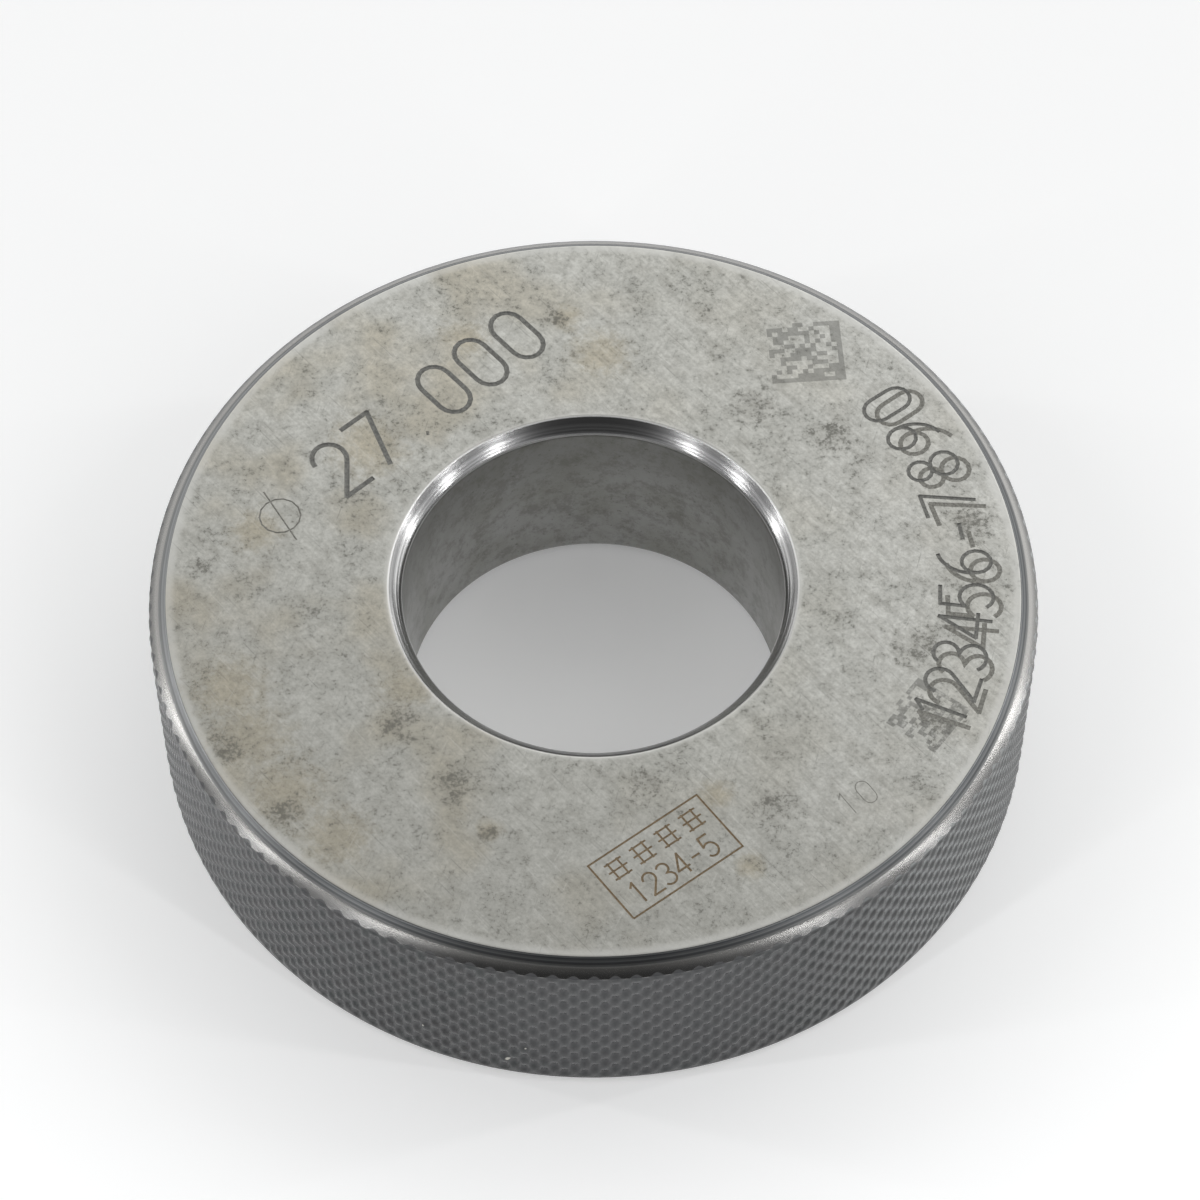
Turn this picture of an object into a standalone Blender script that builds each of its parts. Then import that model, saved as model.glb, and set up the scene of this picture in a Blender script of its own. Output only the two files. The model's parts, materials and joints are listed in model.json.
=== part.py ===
"""A setting ring gauge: a thick hardened steel ring with a lapped bore, two ground faces and a
diamond-knurled rim.

Metres, +Z up. The origin is the middle of the underside, and +Z is the axis of the bore.
"""

import math

import bmesh
import bpy

# Driving dimensions
OUTER_DIAMETER = 0.063
THICKNESS = 0.016
BORE_DIAMETER = 0.027
BORE_CHAMFER = 0.001

# The rim beside each face: a broken edge on the ground face, a corner, then a chamfer to the knurl
RIM_WIDTH = 0.00135
EDGE_WIDTH = 0.0005
EDGE_DROP = 0.00045
CHAMFER_DROP = 0.00105

# The diamond knurl: tooth spacing round the rim and along the axis, and the depth of its grooves
KNURL_PITCH = 0.001414
KNURL_LEAD = 0.001612
KNURL_DEPTH = 0.0002

# Finish
STEEL_COLOUR = (0.46, 0.45, 0.42, 1.0)
STEEL_ROUGHNESS = 0.42
SMOOTH_ANGLE = math.radians(25)

# Values that follow from them
CREST_RADIUS = OUTER_DIAMETER / 2
LAND_RADIUS = CREST_RADIUS - RIM_WIDTH
CORNER_RADIUS = LAND_RADIUS + EDGE_WIDTH
CHAMFER_SLOPE = (CHAMFER_DROP - EDGE_DROP) / (CREST_RADIUS - CORNER_RADIUS)
TEETH_ROUND = 2 * round(math.pi * CREST_RADIUS / KNURL_PITCH)
KNURL_BANDS = round((THICKNESS - 2 * CHAMFER_DROP) / (KNURL_LEAD / 2))


def clear_scene():
    for obj in list(bpy.data.objects):
        bpy.data.objects.remove(obj, do_unlink=True)


def steel():
    material = bpy.data.materials.new("ground_steel")
    material.use_nodes = True
    shader = material.node_tree.nodes["Principled BSDF"]
    shader.inputs["Base Color"].default_value = STEEL_COLOUR
    shader.inputs["Roughness"].default_value = STEEL_ROUGHNESS
    shader.inputs["Metallic"].default_value = 1.0
    return material


def loop(bm, points):
    """A closed loop of vertices round the axis, from the radius and height of each."""
    turn = 2 * math.pi / len(points)
    made = []
    for step, (radius, height) in enumerate(points):
        angle = step * turn
        made.append(bm.verts.new((radius * math.cos(angle), radius * math.sin(angle), height)))
    return made


def circle(bm, count, radius, height):
    return loop(bm, [(radius, height)] * count)


def strip(bm, first, second):
    """Fills between two loops. One may hold a whole multiple of the other's vertices."""
    fine, coarse = (first, second) if len(first) >= len(second) else (second, first)
    share = len(fine) // len(coarse)
    for step in range(len(coarse)):
        along = [fine[(step * share + part) % len(fine)] for part in range(share + 1)]
        bm.faces.new(along + [coarse[(step + 1) % len(coarse)], coarse[step]])


def is_groove(step, level):
    """Grooves cross at every second point of the lattice, and teeth stand on the others."""
    return (step + level) % 2 == 0


def chamfer_height(radius, upper):
    """The height of the rim chamfer's cone at a radius, on the upper or the lower side."""
    drop = EDGE_DROP + (radius - CORNER_RADIUS) * CHAMFER_SLOPE
    return THICKNESS - drop if upper else drop


def knurl_level(bm, level):
    """One level of the knurl's lattice. The first and the last lie on the chamfers, which cut the
    teeth off in scallops."""
    crest_span = THICKNESS - 2 * CHAMFER_DROP
    points = []
    for step in range(2 * TEETH_ROUND):
        radius = CREST_RADIUS - KNURL_DEPTH if is_groove(step, level) else CREST_RADIUS
        if level in (0, KNURL_BANDS):
            height = chamfer_height(radius, upper=level > 0)
        else:
            height = CHAMFER_DROP + crest_span * level / KNURL_BANDS
        points.append((radius, height))
    return loop(bm, points)


def knurl_band(bm, lower, upper, level):
    """Fills between two levels, folding each square of the lattice along the groove across it."""
    for step in range(len(lower)):
        after = (step + 1) % len(lower)
        if is_groove(step, level):
            bm.faces.new((lower[step], lower[after], upper[after]))
            bm.faces.new((lower[step], upper[after], upper[step]))
        else:
            bm.faces.new((lower[step], lower[after], upper[step]))
            bm.faces.new((lower[after], upper[after], upper[step]))


def ring_body():
    bm = bmesh.new()
    bore_steps = TEETH_ROUND // 2
    bore_radius = BORE_DIAMETER / 2

    knurl = [knurl_level(bm, level) for level in range(KNURL_BANDS + 1)]
    for level in range(KNURL_BANDS):
        knurl_band(bm, knurl[level], knurl[level + 1], level)

    ends = []
    for upper, knurl_end in ((False, knurl[0]), (True, knurl[-1])):
        face = THICKNESS if upper else 0.0
        inward = -1 if upper else 1
        corner = circle(bm, TEETH_ROUND, CORNER_RADIUS, face + inward * EDGE_DROP)
        land = circle(bm, TEETH_ROUND, LAND_RADIUS, face)
        mouth = circle(bm, bore_steps, bore_radius + BORE_CHAMFER, face)
        bore_end = circle(bm, bore_steps, bore_radius, face + inward * BORE_CHAMFER)
        section = [knurl_end, corner, land, mouth, bore_end]
        for first, second in zip(section, section[1:]):
            strip(bm, first, second)
        ends.append(bore_end)
    strip(bm, ends[0], ends[1])

    bmesh.ops.recalc_face_normals(bm, faces=bm.faces)
    mesh = bpy.data.meshes.new("ring_body")
    bm.to_mesh(mesh)
    bm.free()
    mesh.shade_smooth()
    mesh.set_sharp_from_angle(angle=SMOOTH_ANGLE)
    mesh.materials.append(steel())
    ring = bpy.data.objects.new("ring_body", mesh)
    bpy.context.scene.collection.objects.link(ring)
    return ring


clear_scene()
ring_body()
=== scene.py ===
"""The looks of a setting ring gauge: its knurled rim, turned chamfers, lapped bore, and ground face with
the marks and stains of long use.

Metres, +Z up. The ring stands on the floor at the origin, marked face up, and the viewer is at -Y.
"""

import json
import math

import bmesh
import bpy
import numpy as np
from mathutils import Matrix, Vector

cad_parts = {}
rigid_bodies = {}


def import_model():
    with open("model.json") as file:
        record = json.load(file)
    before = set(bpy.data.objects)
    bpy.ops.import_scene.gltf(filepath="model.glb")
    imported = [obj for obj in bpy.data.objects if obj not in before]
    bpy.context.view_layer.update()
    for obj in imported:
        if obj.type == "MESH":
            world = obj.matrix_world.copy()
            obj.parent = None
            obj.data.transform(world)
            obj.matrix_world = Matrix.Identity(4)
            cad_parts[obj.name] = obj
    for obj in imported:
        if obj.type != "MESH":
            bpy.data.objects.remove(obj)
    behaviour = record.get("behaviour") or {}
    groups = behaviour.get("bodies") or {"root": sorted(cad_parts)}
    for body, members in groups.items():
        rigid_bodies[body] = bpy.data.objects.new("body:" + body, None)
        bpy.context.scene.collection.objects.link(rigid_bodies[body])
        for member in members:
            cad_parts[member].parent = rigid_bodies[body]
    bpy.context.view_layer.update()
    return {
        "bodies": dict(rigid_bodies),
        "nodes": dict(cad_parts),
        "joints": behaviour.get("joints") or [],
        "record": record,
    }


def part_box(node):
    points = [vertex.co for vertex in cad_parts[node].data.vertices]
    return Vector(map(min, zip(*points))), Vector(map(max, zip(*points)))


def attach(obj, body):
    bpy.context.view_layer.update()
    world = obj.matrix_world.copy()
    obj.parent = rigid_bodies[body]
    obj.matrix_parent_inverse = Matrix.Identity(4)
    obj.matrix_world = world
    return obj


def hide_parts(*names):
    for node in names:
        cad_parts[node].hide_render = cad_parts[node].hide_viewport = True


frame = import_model()
RING_LOW, RING_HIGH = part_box("ring_body")

MM = 0.001

# The ring's section, as in the solid
CREST_RADIUS = RING_HIGH.x
THICKNESS = RING_HIGH.z - RING_LOW.z
BORE_RADIUS = 13.5 * MM
BORE_CHAMFER = 1.0 * MM
MOUTH_RADIUS = BORE_RADIUS + BORE_CHAMFER
LAND_RADIUS = CREST_RADIUS - 1.35 * MM
CORNER_RADIUS = LAND_RADIUS + 0.5 * MM
EDGE_DROP = 0.45 * MM
CHAMFER_DROP = 1.05 * MM
CHAMFER_SWELL = 0.03 * MM
CHAMFER_SLOPE = (CHAMFER_DROP - EDGE_DROP) / (CREST_RADIUS - CORNER_RADIUS)

# The knurl: teeth round the rim, bands of teeth along the axis, and the mesh steps across half a tooth
TEETH_ROUND = 140
KNURL_BANDS = 17
STEPS = 3
KNURL_DEPTH = 0.2 * MM

# How far each tooth's round crown reaches from its middle, round the rim and along the axis, in half teeth
CROWN_ACROSS = 0.62
CROWN_ALONG = 0.98

# How far the teeth fall away at their ends, over what length, and what is left of their depth there
END_FALL = 0.12 * MM
END_LENGTH = 0.6 * MM
END_DEPTH = 0.0

# The upright strip lights on each side: their bearing from the viewer in degrees, lower and upper end
STRIPS = ((49, 0.09, 0.60), (76, 0.07, 0.55), (102, 0.05, 0.40))
STRIP_DISTANCE = 0.38
STRIP_WIDTH = 0.014
STRIP_BRIGHTNESS = 12.9

# The floor, and how bright it glows in front of the ring and behind it, in the bore, and far away
FLOOR_RADIUS = 2.5
FLOOR_GLOW = (0.33, 0.20)
BORE_GLOW = 0.19
DISTANT_GLOW = 0.3

# The direction of the dark gap in the tent, where the viewer stands
TO_VIEWER = (0.0, -0.80, 0.60)

# The camera, from the ellipses of the bore and of the face
IMAGE_SIZE = 1200
SENSOR = 36.0
FOCAL_PIXELS = 4358.2
CAMERA_ELEVATION = math.radians(56.271)
CAMERA_ROLL = math.radians(-0.222)
CAMERA_DISTANCE = 306.66 * MM
CAMERA_TARGET = Vector((0.467 * MM, -1.543 * MM, THICKNESS))


# Tools for the mesh


def deselect_all():
    if bpy.context.mode != "OBJECT":
        bpy.ops.object.mode_set(mode="OBJECT")
    bpy.ops.object.select_all(action="DESELECT")


def work_on(piece):
    deselect_all()
    piece.select_set(True)
    bpy.context.view_layer.objects.active = piece


def read_points(piece):
    points = np.empty(len(piece.data.vertices) * 3)
    piece.data.vertices.foreach_get("co", points)
    return points.reshape(-1, 3)


def write_points(piece, points):
    piece.data.vertices.foreach_set("co", np.ascontiguousarray(points, np.float32).ravel())
    piece.data.update()


def apply_all(piece):
    work_on(piece)
    for modifier in list(piece.modifiers):
        bpy.ops.object.modifier_apply(modifier=modifier.name)


# Tools for the finishes

# The sockets of a Mix node that mixes colours
MIX_FACTOR = 0
MIX_FIRST = 6
MIX_SECOND = 7
MIX_RESULT = 2


class Signal:
    """A socket of a finish, on which ordinary sums and products add Math nodes."""

    def __init__(self, nodes, socket):
        self.nodes = nodes
        self.socket = socket

    def _sum(self, operation, first, second=0.0):
        return self.nodes.node("Math", {"operation": operation}, {0: first, 1: second})

    def __add__(self, other):
        return self._sum("ADD", self, other)

    def __radd__(self, other):
        return self._sum("ADD", other, self)

    def __sub__(self, other):
        return self._sum("SUBTRACT", self, other)

    def __rsub__(self, other):
        return self._sum("SUBTRACT", other, self)

    def __mul__(self, other):
        return self._sum("MULTIPLY", self, other)

    def __rmul__(self, other):
        return self._sum("MULTIPLY", other, self)

    def __truediv__(self, other):
        return self._sum("DIVIDE", self, other)

    def __gt__(self, other):
        return self._sum("GREATER_THAN", self, other)

    def __lt__(self, other):
        return self._sum("LESS_THAN", self, other)

    def at_least(self, other):
        return self._sum("MAXIMUM", self, other)

    def floor(self):
        return self._sum("FLOOR", self)

    def cosine(self):
        return self._sum("COSINE", self)

    def absolute(self):
        return self._sum("ABSOLUTE", self)

    def sign(self):
        return self._sum("SIGN", self)


class Nodes:
    """The nodes of a material or of the world."""

    def __init__(self, tree):
        self.tree = tree

    def node(self, kind, settings=None, inputs=None, output=0):
        node = self.tree.nodes.new("ShaderNode" + kind)
        for name, value in (settings or {}).items():
            setattr(node, name, value)
        for name, value in (inputs or {}).items():
            if isinstance(value, Signal):
                self.tree.links.new(value.socket, node.inputs[name])
            else:
                node.inputs[name].default_value = value
        return Signal(self, node.outputs[output])

    def number(self, value):
        signal = self.node("Value")
        signal.socket.default_value = value
        return signal

    def ease(self, value, low, high):
        """0 below low, 1 above high, with a soft step between."""
        inputs = {"Value": value, "From Min": low, "From Max": high}
        return self.node("MapRange", {"interpolation_type": "SMOOTHSTEP"}, inputs)

    def blend(self, share, first, second):
        mix = self.tree.nodes.new("ShaderNodeMix")
        mix.data_type = "RGBA"
        for index, value in ((MIX_FACTOR, share), (MIX_FIRST, first), (MIX_SECOND, second)):
            if isinstance(value, Signal):
                self.tree.links.new(value.socket, mix.inputs[index])
            elif index == MIX_FACTOR:
                mix.inputs[index].default_value = value
            else:
                mix.inputs[index].default_value = (*value, 1.0)
        return Signal(self, mix.outputs[MIX_RESULT])

    def parts_of(self, place):
        split = self.tree.nodes.new("ShaderNodeSeparateXYZ")
        self.tree.links.new(place.socket, split.inputs[0])
        return [Signal(self, output) for output in split.outputs]


class Finish(Nodes):
    """A material, with the place of each point in millimetres."""

    def __init__(self, name, **shader):
        self.material = bpy.data.materials.new(name)
        self.material.use_nodes = True
        super().__init__(self.material.node_tree)
        self.shader = self.tree.nodes["Principled BSDF"]
        for socket, value in shader.items():
            self.shader.inputs[socket.replace("_", " ")].default_value = value
        here = self.node("TexCoord", output="Object")
        self.place = self.node("VectorMath", {"operation": "SCALE"}, {0: here, 3: 1.0 / MM})

    def feed(self, socket, signal):
        self.tree.links.new(signal.socket, self.shader.inputs[socket])

    def noise(self, scale, detail=3.0, roughness=0.55, place=None):
        inputs = {"Vector": place or self.place, "Scale": scale, "Detail": detail, "Roughness": roughness}
        return self.node("TexNoise", {"normalize": True}, inputs, "Fac")

    def stretched(self, turn, along, across):
        """The place, turned about Z and scaled, for a pattern drawn out along one direction."""
        turned = self.node("VectorRotate", {"rotation_type": "Z_AXIS"}, {"Vector": self.place, "Angle": turn})
        return self.node("VectorMath", {"operation": "MULTIPLY"}, {0: turned, 1: (along, across, 1.0)})

    def distance(self, x, y, z):
        """The distance from a spot, all in millimetres."""
        return self.node("VectorMath", {"operation": "DISTANCE"}, {0: self.place, 1: (x, y, z)}, "Value")

    def azimuth(self):
        """The angle round the bore's axis, in radians from +X."""
        across, along, _ = self.parts_of(self.place)
        return self.node("Math", {"operation": "ARCTAN2"}, {0: along, 1: across})

    def radius(self):
        """The distance from the bore's axis, in millimetres."""
        flat = self.node("VectorMath", {"operation": "MULTIPLY"}, {0: self.place, 1: (1.0, 1.0, 0.0)})
        return self.node("VectorMath", {"operation": "LENGTH"}, {0: flat}, "Value")

    def bump(self, height, strength, distance):
        inputs = {"Height": height, "Strength": strength, "Distance": distance}
        self.feed("Normal", self.node("Bump", inputs=inputs))


# Finishes


STEEL = (0.63, 0.63, 0.595)
CLEAN_STEEL = (0.66, 0.66, 0.64)
MARK_GREY = (0.155, 0.155, 0.145)

# Where the face is stained brown and where it is pitted dark: middle and size, in millimetres
BROWN_STAINS = (
    (-25.4, -8.8, 4.6), (-24.0, -13.0, 5.0), (-21.3, -17.2, 5.0), (-17.6, -20.8, 4.0), (-7.2, -20.3, 1.6),
    (-16.0, 12.0, 4.5), (-2.0, 23.6, 2.2), (8.4, -17.6, 2.0), (10.6, -23.2, 1.6), (-13.0, -8.5, 3.5),
    (-24.0, 4.5, 3.0), (0.5, 20.0, 3.5), (-9.5, 21.5, 3.0),
)
DARK_PATCHES = (
    (-9.7, -16.7, 1.9), (-7.0, -20.6, 1.3), (-2.8, 23.5, 1.2), (8.2, 23.4, 1.1), (11.7, 15.5, 2.6),
    (17.6, 12.4, 2.4), (-13.6, -11.4, 2.3), (-25.5, -14.0, 2.2), (22.5, -5.5, 3.0), (12.5, -18.5, 2.6),
    (27.0, 5.0, 2.6), (-28.0, 1.5, 1.4), (3.5, -16.8, 2.0), (24.0, -12.0, 2.4), (-21.0, -19.0, 2.2),
)

# The square code block: its middle, side, cells across and turn, and the worn one beside the serial
CODE_BLOCK = (15.6, 20.2, 5.4, 14, 4.0)
WORN_BLOCK = (23.0, -11.2, 4.4, 14, 53.0)


class FaceMarks:
    """Shapes laid flat on the marked face, as shares from 0 to 1 for a finish to mix by."""

    def __init__(self, finish):
        self.finish = finish
        self.on_top = finish.parts_of(finish.place)[2] > THICKNESS / MM / 2

    def spots(self, spots, ragged):
        """Round patches with a ragged edge, the strongest share of them all."""
        f = self.finish
        total = f.number(0.0)
        for x, y, size in spots:
            total = total.at_least(1.0 - f.distance(x, y, THICKNESS / MM) / size)
        return f.ease(total + ragged, 0.1, 0.9) * self.on_top * f.ease(total, 0.0, 0.2)

    def block(self, x, y, side, cells, turn):
        """A square of dark and light cells with a solid line along two sides. The cells carry nothing."""
        f = self.finish
        shifted = f.node("VectorMath", {"operation": "SUBTRACT"}, {0: f.place, 1: (x, y, 0.0)})
        turned = f.node("VectorRotate", {"rotation_type": "Z_AXIS"},
                        {"Vector": shifted, "Angle": math.radians(-turn)})
        across, along, _ = f.parts_of(turned)
        column = across * (cells / side) + cells / 2
        row = along * (cells / side) + cells / 2
        cell = f.node("CombineXYZ", inputs={0: column.floor(), 1: row.floor(), 2: 7.0})
        dark = f.node("TexWhiteNoise", {"noise_dimensions": "3D"}, {"Vector": cell}, "Value") > 0.5
        solid = (row < 1.0).at_least(column > cells - 1.0)
        inside = (column > 0.0) * (column < float(cells)) * (row > 0.0) * (row < float(cells))
        return dark.at_least(solid) * inside * self.on_top


def speckle(f, scale, low, high, offset):
    """Fine dark pits, thresholded from noise taken at an offset."""
    moved = f.node("VectorMath", {"operation": "ADD"}, {0: f.place, 1: (offset, offset, offset)})
    return f.ease(f.noise(scale, detail=5.0, roughness=0.75, place=moved), low, high)


def scratches(f, degrees, along, across, low):
    """Thin straight scratches that run at an angle."""
    lines = f.noise(1.0, detail=2.0, roughness=0.5, place=f.stretched(math.radians(-degrees), along, across))
    return f.ease(lines, low, low + 0.08)


def ground_face():
    """The marked face: ground steel, mottled with tarnish, brown stains, pits and fine scratches, with
    painted light making it lighter towards the right and painted shade making it darker towards the front
    left.
    """
    f = Finish("ground_face", Metallic=1.0)
    marks = FaceMarks(f)
    radius = f.radius()
    across, along, _ = f.parts_of(f.place)
    haze = f.noise(0.13, detail=2.0)
    clouds = f.noise(0.33, detail=3.0)
    mottle = f.noise(1.2, detail=7.0, roughness=0.76)
    smudges = f.noise(0.75, detail=5.0, roughness=0.72, place=f.stretched(math.radians(48), 0.6, 1.2))
    grain = f.noise(3.2, detail=5.0, roughness=0.8)
    brushed = f.noise(1.0, detail=4.0, roughness=0.62, place=f.stretched(math.radians(48), 0.16, 3.0))
    ragged = mottle * 1.6 - 0.8
    # Darker towards the front left, broken up by a haze noise: painted shade.
    front_left_painted_shade = f.ease(across * -0.7 - along + haze * 24.0, 4.0, 42.0)
    leftward = f.ease(across * -1.0, -8.0, 12.0)
    brown = f.ease(haze, 0.44, 0.66) * (0.15 + leftward * 0.45)
    brown = brown.at_least(marks.spots(BROWN_STAINS, ragged) * 0.8)
    patches = marks.spots(DARK_PATCHES, ragged)
    cloud = f.ease(mottle, 0.38, 0.66)
    pits = f.ease(mottle * 0.5 + grain * 0.7 + clouds * 0.25 + patches * 0.09, 0.775, 0.90)
    clean = f.ease(radius, 29.35, 29.95).at_least(f.ease(radius, 14.95, 14.5))
    kept = 1.0 - clean * 0.7
    # Lighter towards the right: painted light, where the lamps on that side shine brighter.
    colour = f.blend(f.ease(across, 8.0, 26.0) * 0.6, STEEL, (0.72, 0.72, 0.69))
    colour = f.blend(brown, colour, (0.54, 0.485, 0.37))
    colour = f.blend(f.ease(clouds, 0.42, 0.66) * 0.20, colour, (0.25, 0.25, 0.225))
    colour = f.blend(cloud * kept * 0.34, colour, (0.25, 0.25, 0.225))
    colour = f.blend(f.ease(grain, 0.40, 0.64) * kept * 0.30, colour, (0.24, 0.24, 0.215))
    streaks = f.ease(brushed, 0.40, 0.66) * (0.20 - leftward * 0.10)
    colour = f.blend(streaks * kept, colour, (0.24, 0.24, 0.22))
    colour = f.blend(f.ease(smudges, 0.48, 0.62) * kept * 0.22, colour, (0.27, 0.26, 0.23))
    colour = f.blend(patches * kept * 0.30, colour, (0.20, 0.19, 0.165))
    colour = f.blend(pits * kept * 0.58, colour, (0.125, 0.125, 0.11))
    # The painted shade towards the front left.
    colour = f.blend(front_left_painted_shade * 0.20, colour, (0.22, 0.21, 0.185))
    fine = scratches(f, -50, 0.30, 7.0, 0.60).at_least(scratches(f, 65, 0.4, 8.0, 0.64))
    colour = f.blend(fine * f.ease(clouds, 0.60, 0.42) * 0.15, colour, (0.82, 0.82, 0.80))
    dark_lines = scratches(f, -49, 0.22, 6.0, 0.65).at_least(scratches(f, 75, 0.45, 8.0, 0.66))
    colour = f.blend(dark_lines * 0.36, colour, (0.18, 0.18, 0.165))
    colour = f.blend(clean * 0.4, colour, CLEAN_STEEL)
    worn = marks.block(*WORN_BLOCK) * f.ease(mottle, 0.36, 0.52)
    colour = f.blend(worn * 0.6, colour, MARK_GREY)
    colour = f.blend(marks.block(*CODE_BLOCK) * (0.78 - grain * 0.5), colour, MARK_GREY)
    f.feed("Base Color", colour)
    f.feed("Roughness", 0.36 + cloud * 0.08 + pits * 0.12)
    f.bump(grain, 0.4, 0.00002)
    return f.material


def tool_rings(f, fineness, detail=4.0):
    """Fine rings round the axis, as a turning tool leaves them."""
    height = f.parts_of(f.place)[2]
    rings = f.node("CombineXYZ", inputs={0: f.radius() * fineness, 1: height * fineness * 0.6, 2: 0.0})
    return f.noise(1.0, detail=detail, roughness=0.7, place=rings)


def turned_steel():
    """The bore's chamfers, bright from the tool, worn white along both edges, that white partly a painted
    highlight, and lightened towards the front on both sides as painted light.
    """
    f = Finish("turned_steel", Metallic=1.0)
    radius = f.radius()
    across, along, _ = f.parts_of(f.place)
    lines = tool_rings(f, 4.0, 2.0)
    patches = f.noise(1.2, detail=5.0, roughness=0.7)
    mouth = f.ease(radius, MOUTH_RADIUS / MM - 0.09, MOUTH_RADIUS / MM - 0.01)
    foot = f.ease(radius, BORE_RADIUS / MM + 0.16, BORE_RADIUS / MM + 0.02) * 0.7
    worn = mouth.at_least(foot)
    aside = f.ease(across.absolute(), 4.0, 9.0)
    # Lightened on both sides towards the front: painted light, for the bright sheen the chamfer catches there
    # at a grazing view.
    front_painted_light = aside * f.ease(along, -0.5, -5.0)
    colour = f.blend(f.ease(lines, 0.36, 0.60) * 0.8, (0.56, 0.56, 0.56), (0.20, 0.20, 0.20))
    colour = f.blend(f.ease(patches, 0.50, 0.72) * 0.15, colour, (0.28, 0.28, 0.28))
    colour = f.blend(front_painted_light * 0.9, colour, (0.95, 0.95, 0.95))
    # The worn edges: their white is partly wear and partly a painted highlight, lighter behind than in front
    # as painted light.
    edge = f.blend(f.ease(along, 4.0, -8.0), (0.78, 0.78, 0.77), (0.46, 0.46, 0.45))
    colour = f.blend(worn, colour, edge)
    f.feed("Base Color", colour)
    f.feed("Metallic", 1.0 - foot * 0.8)
    f.feed("Roughness", (0.12 + lines * 0.19).at_least(worn * 0.5))
    f.bump(tool_rings(f, 4.0, 1.0), 0.7, 0.00003)
    return f.material


def lapped_bore():
    """The bore: lapped smooth, with dull olive tarnish, and painted shade making the wall darker towards the
    face.
    """
    f = Finish("lapped_bore", Metallic=1.0)
    clouds = f.noise(0.25, detail=4.0, roughness=0.6)
    marks = f.noise(0.8, detail=8.0, roughness=0.80)
    upper = f.ease(f.parts_of(f.place)[2], THICKNESS / MM * 0.45, THICKNESS / MM * 0.95)
    colour = f.blend(f.ease(clouds, 0.35, 0.72) * 0.7, (0.39, 0.39, 0.38), (0.29, 0.29, 0.26))
    # Darker up the wall towards the face: painted shade.
    colour = f.blend(upper * 0.52, colour, (0.15, 0.15, 0.14))
    colour = f.blend(f.ease(marks, 0.45, 0.62) * 0.45, colour, (0.155, 0.15, 0.13))
    colour = f.blend(speckle(f, 2.6, 0.58, 0.68, 5.0) * 0.5, colour, (0.11, 0.11, 0.09))
    f.feed("Base Color", colour)
    f.feed("Roughness", 0.26 + clouds * 0.14)
    return f.material


# Crumbs of dust caught in the knurl: azimuth, height and radius, in degrees and millimetres
DUST = ((259.0, 2.8, 0.26), (261.3, 4.7, 0.13), (256.5, 3.4, 0.12), (247.8, 4.5, 0.12), (331.3, 5.7, 0.17))

# Where the knurl's painted shading gives way to an even grey, as painted light where the light falls evenly,
# in millimetres
EVEN_LIGHT_PLACE = (2.5, -31.4, 9.0)


def dust_share(f):
    dust = f.number(0.0)
    for azimuth, height, size in DUST:
        x = CREST_RADIUS / MM * math.cos(math.radians(azimuth))
        y = CREST_RADIUS / MM * math.sin(math.radians(azimuth))
        dust = dust.at_least(f.ease(f.distance(x, y, height), size, size * 0.6))
    return dust


def ragged_oxide(f):
    """How far each point is oxidised. The oxide starts at the knurl, and reaches up the rim chamfer a
    little way over every tooth and less far between them."""
    middle = THICKNESS / MM / 2
    height = f.parts_of(f.place)[2] - middle
    depth = middle - height.absolute()
    teeth = (f.azimuth() * TEETH_ROUND).cosine() * height.sign()
    wear = f.noise(1.0, detail=2.0)
    return f.ease(depth + teeth * 0.10 + wear * 0.10, CHAMFER_DROP / MM - 0.11, CHAMFER_DROP / MM - 0.03)


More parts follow.
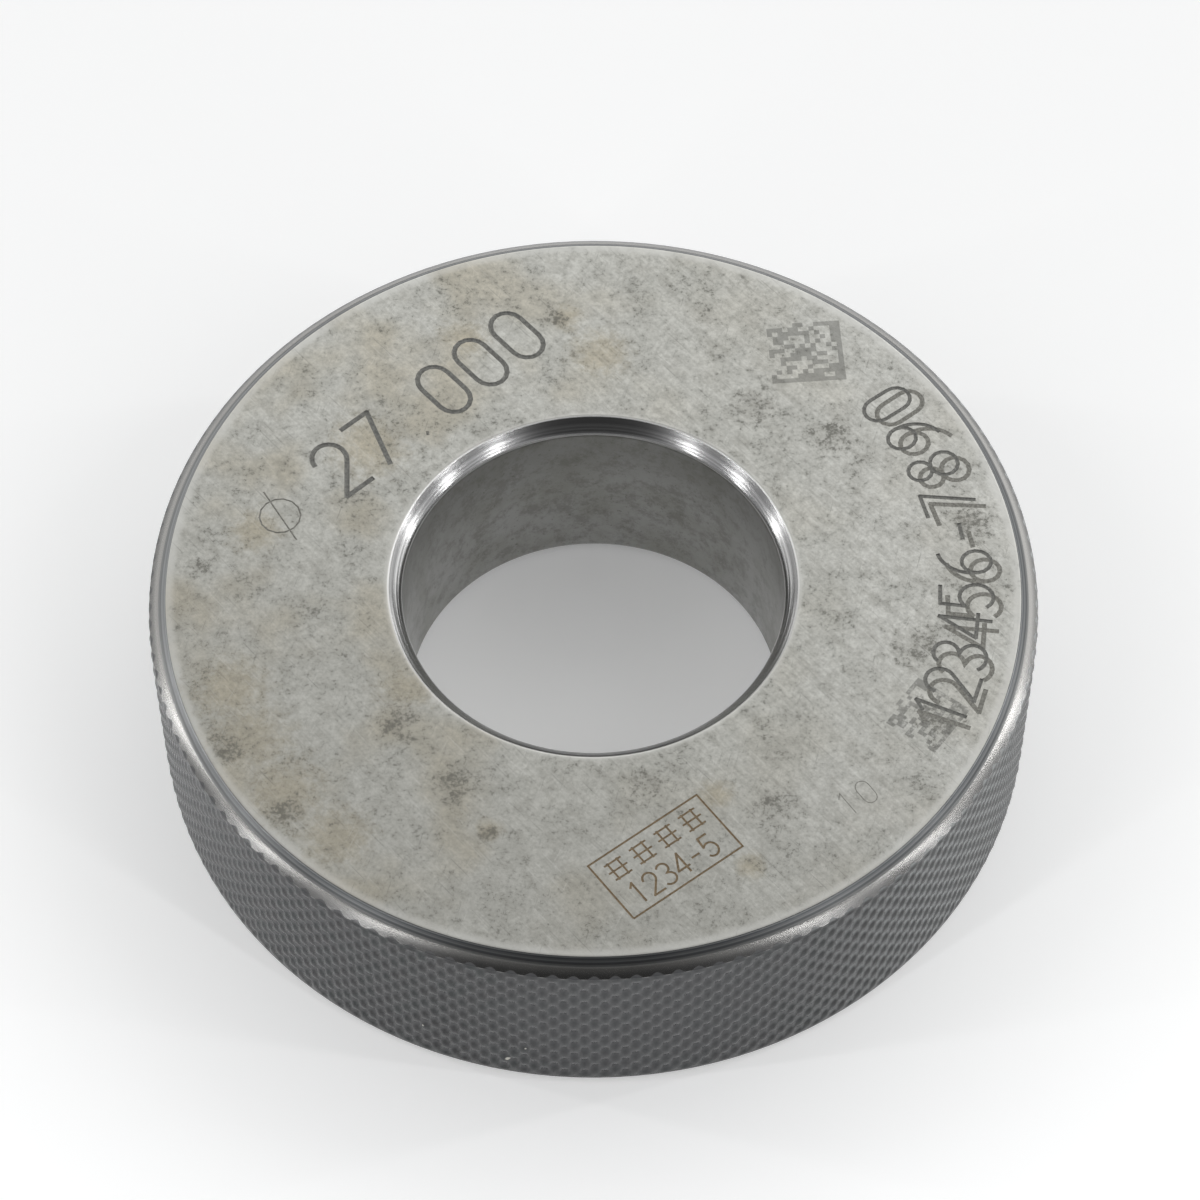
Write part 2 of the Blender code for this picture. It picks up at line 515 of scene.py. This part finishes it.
def oxide_rim():
    """The rim: dull turned facets with painted shade in their corner, a dark oxide from the foot of the
    chamfer outwards on which the knurl's light and shade are painted, crowns dark and grooves lighter, and a
    few crumbs of dust."""
    f = Finish("oxide_rim", IOR=1.42)
    radius = f.radius()
    across = f.parts_of(f.place)[0]
    wear = f.noise(0.35, detail=3.0)
    tint = f.noise(0.5, detail=1.0)
    lines = tool_rings(f, 3.0, 1.0)
    facet = f.ease(radius, CORNER_RADIUS / MM + 0.10, CORNER_RADIUS / MM)
    oxidised = ragged_oxide(f)
    from_corner = (radius - CORNER_RADIUS / MM + 0.06).absolute()
    steel = f.blend(f.ease(lines, 0.36, 0.66) * 0.4, (0.345, 0.34, 0.33), (0.25, 0.25, 0.245))
    # The outer part of the rim chamfer darker: painted shade, keeping the highlight on the inner part.
    outer_painted_shade = f.ease(radius, CREST_RADIUS / MM - 0.58, CREST_RADIUS / MM - 0.22)
    steel = f.blend(outer_painted_shade * 0.65, steel, (0.14, 0.14, 0.14))
    grooved = f.blend(f.ease(tool_rings(f, 5.0, 1.0), 0.40, 0.60), (0.10, 0.105, 0.11), (0.235, 0.24, 0.24))
    # The facets lighter at the far left: painted light.
    grooved = f.blend(f.ease(across, -18.0, -30.0) * 0.33, grooved, (0.42, 0.43, 0.43))
    steel = f.blend(facet, steel, grooved)
    # Darker along the concave corner: painted shade.
    steel = f.blend(f.ease(from_corner, 0.14, 0.02) * 0.4, steel, (0.09, 0.09, 0.085))
    # The knurl's shading is painted: crowns dark and grooves lighter, the crowns darker and the grooves much
    # lighter towards the right, where the light is stronger.
    sunk = f.ease(CREST_RADIUS / MM - radius, KNURL_DEPTH / MM * 0.35, KNURL_DEPTH / MM * 0.95)
    oxide = f.blend(f.ease(tint, 0.42, 0.62) * 0.6, (0.024, 0.024, 0.026), (0.016, 0.026, 0.026))
    oxide = f.blend(f.ease(across, 4.0, 24.0) * 0.7, oxide, (0.007, 0.009, 0.009))
    groove_painted_light = f.blend(f.ease(across, 6.0, 31.0), (0.128, 0.130, 0.134), (0.40, 0.415, 0.415))
    oxide = f.blend(sunk * 0.9, oxide, groove_painted_light)
    oxide = f.blend(f.ease(wear, 0.42, 0.75) * 0.15, oxide, (0.16, 0.162, 0.165))
    # An even grey at the front of the knurl: painted light, where light falls evenly and the painted shading
    # fades.
    front_painted_light = f.ease(f.distance(*EVEN_LIGHT_PLACE), 15.0, 4.0)
    oxide = f.blend(front_painted_light * 0.65, oxide, (0.080, 0.082, 0.086))
    oxide = f.blend(speckle(f, 3.0, 0.58, 0.70, 1.0) * 0.3, oxide, (0.16, 0.16, 0.16))
    dust = dust_share(f)
    colour = f.blend(oxidised, steel, oxide)
    f.feed("Base Color", f.blend(dust, colour, (0.80, 0.78, 0.70)))
    f.feed("Metallic", 1.0 - oxidised)
    f.feed("Roughness", 0.22 + wear * 0.08 + facet * 0.12 - oxidised * 0.05 + dust * 0.3)
    return f.material


def engraved(name, light, dark):
    """The dull bottoms of engraved lines."""
    f = Finish(name, Metallic=0.7)
    grit = f.noise(5.0, detail=4.0, roughness=0.7)
    f.feed("Base Color", f.blend(f.ease(grit, 0.35, 0.65), light, dark))
    f.feed("Roughness", 0.50 + grit * 0.2)
    f.bump(grit, 0.4, 0.00003)
    return f.material


# The ring


def cone_height(radius, upper):
    """The height of the rim chamfer at a radius, on the upper or the lower side."""
    drop = EDGE_DROP + (radius - CORNER_RADIUS) * CHAMFER_SLOPE
    return THICKNESS - drop if upper else drop


def tooth_height(across, along):
    """How high the knurl stands, from 0 in a groove to 1 on a crown. Both are in half teeth, and the
    crowns are where one is even and the other odd."""
    height = np.zeros_like(along)
    for shift in (0, 1):
        from_across = np.abs((across + shift) % 2 - 1) / CROWN_ACROSS
        from_along = np.abs((along + 1 + shift) % 2 - 1) / CROWN_ALONG
        height = np.maximum(height, 1 - from_across ** 2 - from_along ** 2)
    return height


def knurl_levels():
    """The height of each row of the knurl's grid in half teeth, with more rows near both ends."""
    inner = [step / STEPS for step in range(1, KNURL_BANDS * STEPS)]
    start = [0.0, 1 / STEPS / 3, 2 / STEPS / 3]
    return np.array(start + inner + [KNURL_BANDS - level for level in reversed(start)])


def knurled_sleeve():
    """A grid rolled up into the knurled rim, its ends cut off by the chamfers' cones."""
    columns = 2 * TEETH_ROUND * STEPS
    levels = knurl_levels()
    rows = len(levels) - 1
    deselect_all()
    bpy.ops.mesh.primitive_grid_add(x_subdivisions=columns, y_subdivisions=rows, size=1.0)
    sleeve = bpy.context.active_object
    sleeve.name = "ring"
    flat = read_points(sleeve)
    across = np.rint((flat[:, 0] + 0.5) * columns) / STEPS
    level = levels[np.rint((flat[:, 1] + 0.5) * rows).astype(int)]
    span = THICKNESS - 2 * CHAMFER_DROP
    from_end = np.minimum(level, KNURL_BANDS - level) * span / KNURL_BANDS
    near_end = 1 - np.minimum(from_end / END_LENGTH, 1)
    depth = KNURL_DEPTH * (1 - (1 - END_DEPTH) * near_end)
    along = level.copy()
    for _ in range(12):
        radius = CREST_RADIUS - END_FALL * near_end ** 2 - depth * (1 - tooth_height(across, along))
        height = CHAMFER_DROP + span * level / KNURL_BANDS
        lower_end = cone_height(radius, False)
        upper_end = cone_height(radius, True)
        height = height + near_end * np.where(level < KNURL_BANDS / 2, lower_end - CHAMFER_DROP,
                                              upper_end - THICKNESS + CHAMFER_DROP)
        along = (height - CHAMFER_DROP) / span * KNURL_BANDS
    angle = across * math.pi / TEETH_ROUND
    write_points(sleeve, np.stack([radius * np.cos(angle), radius * np.sin(angle), height], 1))
    work_on(sleeve)
    bpy.ops.object.mode_set(mode="EDIT")
    bpy.ops.mesh.select_all(action="SELECT")
    bpy.ops.mesh.remove_doubles(threshold=1e-6)
    bpy.ops.object.mode_set(mode="OBJECT")
    return sleeve


def rim_chamfer(share):
    """A point across the swelling rim chamfer, from 0 at its corner to 1 at the knurl: radius, depth."""
    radius = CORNER_RADIUS + (CREST_RADIUS - END_FALL - CORNER_RADIUS) * share
    return radius, THICKNESS - cone_height(radius, True) - CHAMFER_SWELL * 4 * share * (1 - share)


def section_from_rim():
    """The radius and depth of each turn of the mesh, from the knurl's edge to the bore."""
    width = CORNER_RADIUS - LAND_RADIUS
    return [
        rim_chamfer(0.75),
        rim_chamfer(0.5),
        rim_chamfer(0.25),
        rim_chamfer(0.08),
        (CORNER_RADIUS, EDGE_DROP + 0.01 * MM),
        (CORNER_RADIUS - width * 0.10, EDGE_DROP * 0.93),
        (LAND_RADIUS + width * 0.55, EDGE_DROP * 0.48),
        (LAND_RADIUS + width * 0.28, EDGE_DROP * 0.19),
        (LAND_RADIUS + width * 0.12, EDGE_DROP * 0.05),
        (LAND_RADIUS, 0.0),
        (LAND_RADIUS - 0.12 * MM, 0.0),
        (MOUTH_RADIUS + 0.15 * MM, 0.0),
        (MOUTH_RADIUS + 0.05 * MM, 0.0),
        (MOUTH_RADIUS - 0.01 * MM, 0.03 * MM),
        (MOUTH_RADIUS - 0.08 * MM, 0.09 * MM),
        (MOUTH_RADIUS - BORE_CHAMFER * 0.5, BORE_CHAMFER * 0.5),
        (BORE_RADIUS + 0.24 * MM, BORE_CHAMFER - 0.24 * MM),
        (BORE_RADIUS + 0.11 * MM, BORE_CHAMFER - 0.08 * MM),
        (BORE_RADIUS + 0.045 * MM, BORE_CHAMFER + 0.07 * MM),
        (BORE_RADIUS + 0.012 * MM, BORE_CHAMFER + 0.24 * MM),
        (BORE_RADIUS, BORE_CHAMFER + 0.42 * MM),
    ]


def select_open_end(piece, upper):
    """In edit mode: selects the open edge loop at one end, or at both where upper is None."""
    middle = THICKNESS / 2
    edit = bmesh.from_edit_mesh(piece.data)
    for edge in edit.edges:
        high = edge.verts[0].co.z > middle
        edge.select_set(edge.is_boundary and upper in (None, high))
    edit.select_flush_mode()
    bmesh.update_edit_mesh(piece.data)


def place_selected(piece, radius, height):
    """In edit mode: puts the selected vertices on a circle, each at its own angle."""
    edit = bmesh.from_edit_mesh(piece.data)
    for vertex in edit.verts:
        if vertex.select:
            angle = math.atan2(vertex.co.y, vertex.co.x)
            vertex.co = (radius * math.cos(angle), radius * math.sin(angle), height)
    bmesh.update_edit_mesh(piece.data)


def close_ring(sleeve):
    """Turns both ends in over the chamfers and the faces, down into the bore, and joins them there."""
    work_on(sleeve)
    bpy.ops.object.mode_set(mode="EDIT")
    bpy.ops.mesh.select_mode(type="EDGE")
    for upper in (False, True):
        bpy.ops.mesh.select_all(action="DESELECT")
        select_open_end(sleeve, upper)
        for radius, depth in section_from_rim():
            bpy.ops.mesh.extrude_edges_move()
            place_selected(sleeve, radius, THICKNESS - depth if upper else depth)
    bpy.ops.mesh.select_all(action="DESELECT")
    select_open_end(sleeve, None)
    bpy.ops.mesh.bridge_edge_loops()
    bpy.ops.mesh.select_all(action="SELECT")
    bpy.ops.mesh.normals_make_consistent(inside=False)
    bpy.ops.object.mode_set(mode="OBJECT")


FINISHES = ("ground_face", "turned_steel", "lapped_bore", "oxide_rim")


def finish_index(middle, normal):
    """Which finish a face of the ring gets, from its middle and the way it faces."""
    if abs(normal.z) > 0.999:
        return FINISHES.index("ground_face")
    if middle.xy.length > LAND_RADIUS - MM:
        return FINISHES.index("oxide_rim")
    depth = min(middle.z, THICKNESS - middle.z)
    return FINISHES.index("lapped_bore" if depth > BORE_CHAMFER else "turned_steel")


def paint_ring(ring):
    for material in (ground_face(), turned_steel(), lapped_bore(), oxide_rim()):
        ring.data.materials.append(material)
    for face in ring.data.polygons:
        face.material_index = finish_index(face.center, face.normal)


# The marks on the face


def arc(x, y, width, height, start, end, steps=14):
    """Points along part of an ellipse, in shares of a character's height, angles in degrees."""
    angles = [math.radians(start + (end - start) * step / steps) for step in range(steps + 1)]
    return [(x + width * math.cos(angle), y + height * math.sin(angle)) for angle in angles]


STROKES = {
    "0": [arc(0.28, 0.72, 0.26, 0.28, 0, 180, 8) + arc(0.28, 0.28, 0.26, 0.28, 180, 360, 8) + [(0.54, 0.72)]],
    "1": [[(0.12, 0.80), (0.30, 1.0), (0.30, 0.0)]],
    "2": [arc(0.28, 0.72, 0.26, 0.28, 175, -40) + [(0.03, 0.0), (0.56, 0.0)]],
    "3": [arc(0.26, 0.76, 0.24, 0.24, 150, -90) + arc(0.26, 0.26, 0.28, 0.26, 90, -150)],
    "4": [[(0.58, 0.28), (0.02, 0.28), (0.42, 1.0), (0.42, 0.0)]],
    "5": [[(0.52, 1.0), (0.10, 1.0), (0.06, 0.54)] + arc(0.27, 0.32, 0.28, 0.32, 130, -145)],
    "6": [arc(0.62, 0.34, 0.58, 0.66, 100, 180, 8) + arc(0.29, 0.28, 0.25, 0.28, 180, 540)],
    "7": [[(0.03, 1.0), (0.56, 1.0), (0.20, 0.0)]],
    "8": [arc(0.29, 0.77, 0.22, 0.23, -90, 270), arc(0.29, 0.27, 0.27, 0.27, 90, 450)],
    "9": [arc(-0.04, 0.66, 0.58, 0.66, -80, 0, 8) + arc(0.29, 0.72, 0.25, 0.28, 0, 360)],
    "-": [[(0.10, 0.46), (0.48, 0.46)]],
    ".": [[(0.26, 0.0), (0.30, 0.06)]],
    "#": [
        [(0.05, 0.92), (0.95, 0.92)], [(0.0, 0.50), (1.0, 0.50)], [(0.05, 0.08), (0.95, 0.08)],
        [(0.24, 1.0), (0.24, 0.0)], [(0.74, 1.0), (0.74, 0.0)],
    ],
    "Ø": [arc(0.34, 0.45, 0.32, 0.32, 0, 360), [(0.34, -0.08), (0.34, 0.98)]],
}


def smooth_parts(points, overlap):
    """Breaks a line at its sharp corners, and runs the pieces past each other there."""
    parts = [[points[0]]]
    for before, here, after in zip(points, points[1:], points[2:]):
        parts[-1].append(here)
        if (here - before).angle(after - here, 0.0) > math.radians(40):
            parts[-1][-1] = here + (here - before).normalized() * overlap
            parts.append([here - (after - here).normalized() * overlap])
    parts[-1].append(points[-1])
    return parts


class Engraver:
    """Collects round-nosed tubes that lie along the lines to engrave, then cuts them all at once."""

    def __init__(self, name):
        self.name = name
        self.tubes = []

    def line(self, points, place, width, depth, finish):
        """One line, as a tube whose lower side cuts it to size. It breaks at sharp corners."""
        for part in smooth_parts([place @ Vector((*point, 0.0)) for point in points], width * 0.3):
            self.tube(part, width, depth, finish)

    def tube(self, points, width, depth, finish):
        radius = (width * width / 4 + depth * depth) / (2 * depth)
        curve = bpy.data.curves.new(self.name, "CURVE")
        curve.dimensions = "3D"
        curve.bevel_depth = radius
        curve.bevel_resolution = 3
        curve.use_fill_caps = True
        looped = len(points) > 2 and (points[0] - points[-1]).length < 1e-7
        path = points[:-1] if looped else points
        spline = curve.splines.new("POLY")
        spline.points.add(len(path) - 1)
        for knot, spot in zip(spline.points, path):
            knot.co = (spot.x, spot.y, THICKNESS + radius - depth, 1.0)
        spline.use_cyclic_u = looped
        curve.materials.append(finish)
        tube = bpy.data.objects.new(self.name, curve)
        bpy.context.scene.collection.objects.link(tube)
        self.tubes.append(tube)

    def text(self, characters, place, height, width, depth, finish):
        """A row of characters. The place of each is a matrix, from its count along the row."""
        for index, character in enumerate(characters):
            here = place(index) @ Matrix.Diagonal((height, height, 1.0, 1.0))
            for stroke in STROKES.get(character, []):
                self.line(stroke, here, width, depth, finish)

    def cut(self, ring):
        deselect_all()
        for tube in self.tubes:
            tube.select_set(True)
        bpy.context.view_layer.objects.active = self.tubes[0]
        bpy.ops.object.convert(target="MESH")
        bpy.ops.object.join()
        cutter = bpy.context.active_object
        bpy.ops.object.mode_set(mode="EDIT")
        bpy.ops.mesh.select_all(action="SELECT")
        bpy.ops.mesh.remove_doubles(threshold=1e-7)
        bpy.ops.mesh.normals_make_consistent(inside=False)
        bpy.ops.object.mode_set(mode="OBJECT")
        boolean = ring.modifiers.new("cut", "BOOLEAN")
        boolean.operation = "DIFFERENCE"
        boolean.solver = "EXACT"
        boolean.use_self = True
        boolean.material_mode = "TRANSFER"
        boolean.object = cutter
        apply_all(ring)
        bpy.data.objects.remove(cutter)


def straight_row(x, y, row_turn, spacing, letter_turn=None):
    """Places characters in a straight row from x, y, in millimetres. Each may be turned on its own."""
    run = math.radians(row_turn)
    turn = math.radians(row_turn if letter_turn is None else letter_turn)

    def place(index):
        gap = spacing * index
        start = Matrix.Translation(((x + gap * math.cos(run)) * MM, (y + gap * math.sin(run)) * MM, 0.0))
        return start @ Matrix.Rotation(turn, 4, "Z")

    return place


def curved_row(radius, azimuths, lean=0.0):
    """Places characters round the bore's axis, with their feet at a radius and their heads inwards."""

    def place(index):
        angle = math.radians(azimuths[index])
        foot = Matrix.Translation((radius * MM * math.cos(angle), radius * MM * math.sin(angle), 0.0))
        turned = foot @ Matrix.Rotation(angle + math.radians(90 + lean), 4, "Z")
        return turned @ Matrix.Translation((-1.2 * MM, 0.0, 0.0))

    return place


SERIAL_AZIMUTHS = (-23.7, -18.8, -13.4, -7.9, -2.6, 3.6, 9.4, 15.2, 22.2, 29.3, 36.2)


def engrave_size(engraver, dark, faint):
    """The nominal size, in a row over the upper left of the face, with its faint diameter sign."""
    height = 4.7 * MM
    engraver.text("Ø", straight_row(-22.6, 3.2, 31, 0), 4.6 * MM, 0.13 * MM, 0.03 * MM, faint)
    engraver.text("27", straight_row(-17.7, 7.35, 43, 3.35, 41.5), height, 0.40 * MM, 0.09 * MM, dark)
    engraver.text(".", straight_row(-12.8, 12.0, 43, 0), height, 0.26 * MM, 0.05 * MM, faint)
    engraver.text("000", straight_row(-10.25, 14.3, 43, 3.6, 41.5), height, 0.40 * MM, 0.09 * MM, dark)


def engrave_serial(engraver, dark, faint):
    """The serial number, in an arc up the right of the face. It was struck twice, the first time badly."""
    number = "123456-7890"
    slipped = [azimuth - 1.5 for azimuth in SERIAL_AZIMUTHS]
    engraver.text(number, curved_row(28.2, SERIAL_AZIMUTHS), 3.75 * MM, 0.32 * MM, 0.07 * MM, dark)
    engraver.text(number, curved_row(28.75, slipped, 3.0), 3.75 * MM, 0.36 * MM, 0.03 * MM, faint)


def engrave_small_number(engraver, faint):
    """A small number, hardly cut, at the front right of the face."""
    engraver.text("10", straight_row(17.4, -19.4, 35, 1.6, 35), 1.9 * MM, 0.07 * MM, 0.012 * MM, faint)


def engrave_label(engraver, brown):
    """The small framed label at the front of the face."""
    frame = [(0.0, 0.0), (9.3, 0.0), (9.3, 5.1), (0.0, 5.1), (0.0, 0.0)]
    corner = Matrix.Translation((2.65 * MM, -27.25 * MM, 0.0)) @ Matrix.Rotation(math.radians(37), 4, "Z")
    engraver.line(frame, corner @ Matrix.Diagonal((MM, MM, 1.0, 1.0)), 0.17 * MM, 0.03 * MM, brown)

    def row(x, y, spacing):
        return lambda index: corner @ Matrix.Translation(((x + spacing * index) * MM, y * MM, 0.0))

    engraver.text("####", row(0.75, 2.95, 2.1), 1.55 * MM, 0.17 * MM, 0.03 * MM, brown)
    engraver.text("1234-5", row(1.0, 0.55, 1.2), 1.75 * MM, 0.19 * MM, 0.03 * MM, brown)


def engrave_marks(ring):
    dark = engraved("engraved_dark", (0.24, 0.24, 0.225), (0.15, 0.15, 0.14))
    faint = engraved("engraved_faint", (0.30, 0.295, 0.27), (0.17, 0.168, 0.15))
    brown = engraved("engraved_brown", (0.25, 0.19, 0.12), (0.16, 0.12, 0.075))
    engraver = Engraver("marks")
    engrave_size(engraver, dark, faint)
    engrave_serial(engraver, dark, faint)
    engrave_small_number(engraver, faint)
    engrave_label(engraver, brown)
    engraver.cut(ring)


def smooth_and_sharpen(ring):
    work_on(ring)
    bpy.ops.object.shade_smooth_by_angle(angle=math.radians(30))


def make_ring():
    ring = knurled_sleeve()
    close_ring(ring)
    paint_ring(ring)
    engrave_marks(ring)
    smooth_and_sharpen(ring)
    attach(ring, "root")
    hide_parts("ring_body")


# The floor, the lights and the camera


def make_floor():
    """A wide pale sheet, left open under the ring so that the underside can be looked at from below."""
    deselect_all()
    bpy.ops.mesh.primitive_circle_add(vertices=TEETH_ROUND, radius=LAND_RADIUS - MM)
    floor = bpy.context.active_object
    floor.name = "floor"
    bpy.ops.object.mode_set(mode="EDIT")
    bpy.ops.mesh.select_mode(type="EDGE")
    bpy.ops.mesh.select_all(action="SELECT")
    bpy.ops.mesh.extrude_edges_move()
    place_selected(floor, FLOOR_RADIUS, 0.0)
    bpy.ops.mesh.primitive_circle_add(vertices=TEETH_ROUND, radius=MOUTH_RADIUS + MM, fill_type="NGON")
    bpy.ops.mesh.select_all(action="SELECT")
    bpy.ops.mesh.normals_make_consistent(inside=False)
    bpy.ops.object.mode_set(mode="OBJECT")
    f = Finish("pale_floor", Roughness=0.6)
    f.shader.inputs["Specular IOR Level"].default_value = 0.2
    f.shader.inputs["Base Color"].default_value = (0.90, 0.905, 0.91, 1.0)
    f.shader.inputs["Emission Strength"].default_value = 1.0
    seen = f.node("LightPath", output="Is Camera Ray").at_least(f.node("LightPath", output="Is Glossy Ray"))
    # The glow's changes are painted light: brighter in front of the ring, lifting its shadow there, and
    # dimmer in the bore as painted shade of the ring.
    near, far = FLOOR_GLOW
    glow = near + f.ease(f.parts_of(f.place)[1], -60.0, 60.0) * (far - near)
    glow = BORE_GLOW + (f.radius() > 20.0) * (glow - BORE_GLOW)
    distant = f.node("LightPath", output="Is Camera Ray") * f.ease(f.radius(), 200.0, 700.0)
    f.feed("Emission Color", seen * glow + distant * DISTANT_GLOW)
    floor.data.materials.append(f.material)


def strip_light(bearing, low, high):
    """An upright strip beside the ring. The bearing is in degrees from the viewer, left below zero."""
    light = bpy.data.lights.new("strip", "AREA")
    light.shape = "RECTANGLE"
    light.size = STRIP_WIDTH
    light.size_y = high - low
    light.energy = STRIP_BRIGHTNESS * math.pi * STRIP_WIDTH * (high - low)
    lamp = bpy.data.objects.new("strip", light)
    bpy.context.scene.collection.objects.link(lamp)
    angle = math.radians(bearing)
    x = STRIP_DISTANCE * math.sin(angle)
    y = -STRIP_DISTANCE * math.cos(angle)
    lamp.location = (x, y, (low + high) / 2)
    towards_ring = -Vector((lamp.location.x, lamp.location.y, 0.0))
    lamp.rotation_euler = towards_ring.to_track_quat("-Z", "Y").to_euler()


def make_lights():
    for side in (-1, 1):
        for bearing, low, high in STRIPS:
            strip_light(side * bearing, low, high)


def make_world():
    """A tent with dim sides, a bright back, and a dark gap in front where the viewer stands."""
    world = bpy.data.worlds.new("studio")
    world.use_nodes = True
    bpy.context.scene.world = world
    sky = Nodes(world.node_tree)
    direction = sky.node("TexCoord", output="Generated")
    across, along, height = sky.parts_of(direction)
    back = sky.ease(along, -0.15, 0.55)
    right = sky.ease(across, -0.5, 0.5)
    sides = sky.blend(right, (0.30, 0.30, 0.305), (0.42, 0.42, 0.425))
    behind = sky.blend(right, (0.98, 0.98, 0.97), (1.42, 1.42, 1.41))
    light = sky.blend(back, sides, behind)
    light = sky.blend(sky.ease(height, 0.79, 0.90), light, (0.34, 0.34, 0.335))
    facing = sky.node("VectorMath", {"operation": "DOT_PRODUCT"}, {0: direction, 1: TO_VIEWER}, "Value")
    light = sky.blend(sky.ease(facing, 0.80, 0.93), light, (0.07, 0.07, 0.07))
    seen = sky.node("LightPath", output="Is Camera Ray")
    light = sky.blend(seen, light, (0.95, 0.955, 0.955))
    background = world.node_tree.nodes["Background"]
    world.node_tree.links.new(light.socket, background.inputs["Color"])
    background.inputs["Strength"].default_value = 1.0


def make_camera():
    back = Vector((0.0, -math.cos(CAMERA_ELEVATION), math.sin(CAMERA_ELEVATION)))
    right = Vector((1.0, 0.0, 0.0))
    up = back.cross(right)
    rolled_right = math.cos(CAMERA_ROLL) * right + math.sin(CAMERA_ROLL) * up
    rolled_up = math.cos(CAMERA_ROLL) * up - math.sin(CAMERA_ROLL) * right
    lens = bpy.data.cameras.new("camera")
    lens.sensor_width = SENSOR
    lens.lens = FOCAL_PIXELS / IMAGE_SIZE * SENSOR
    lens.clip_start = 0.01
    camera = bpy.data.objects.new("camera", lens)
    bpy.context.scene.collection.objects.link(camera)
    turn = Matrix((rolled_right, rolled_up, back)).transposed().to_4x4()
    camera.matrix_world = Matrix.Translation(CAMERA_TARGET + back * CAMERA_DISTANCE) @ turn
    bpy.context.scene.camera = camera


make_ring()
make_floor()
make_lights()
make_world()
make_camera()
bpy.context.scene.view_settings.view_transform = "Standard"
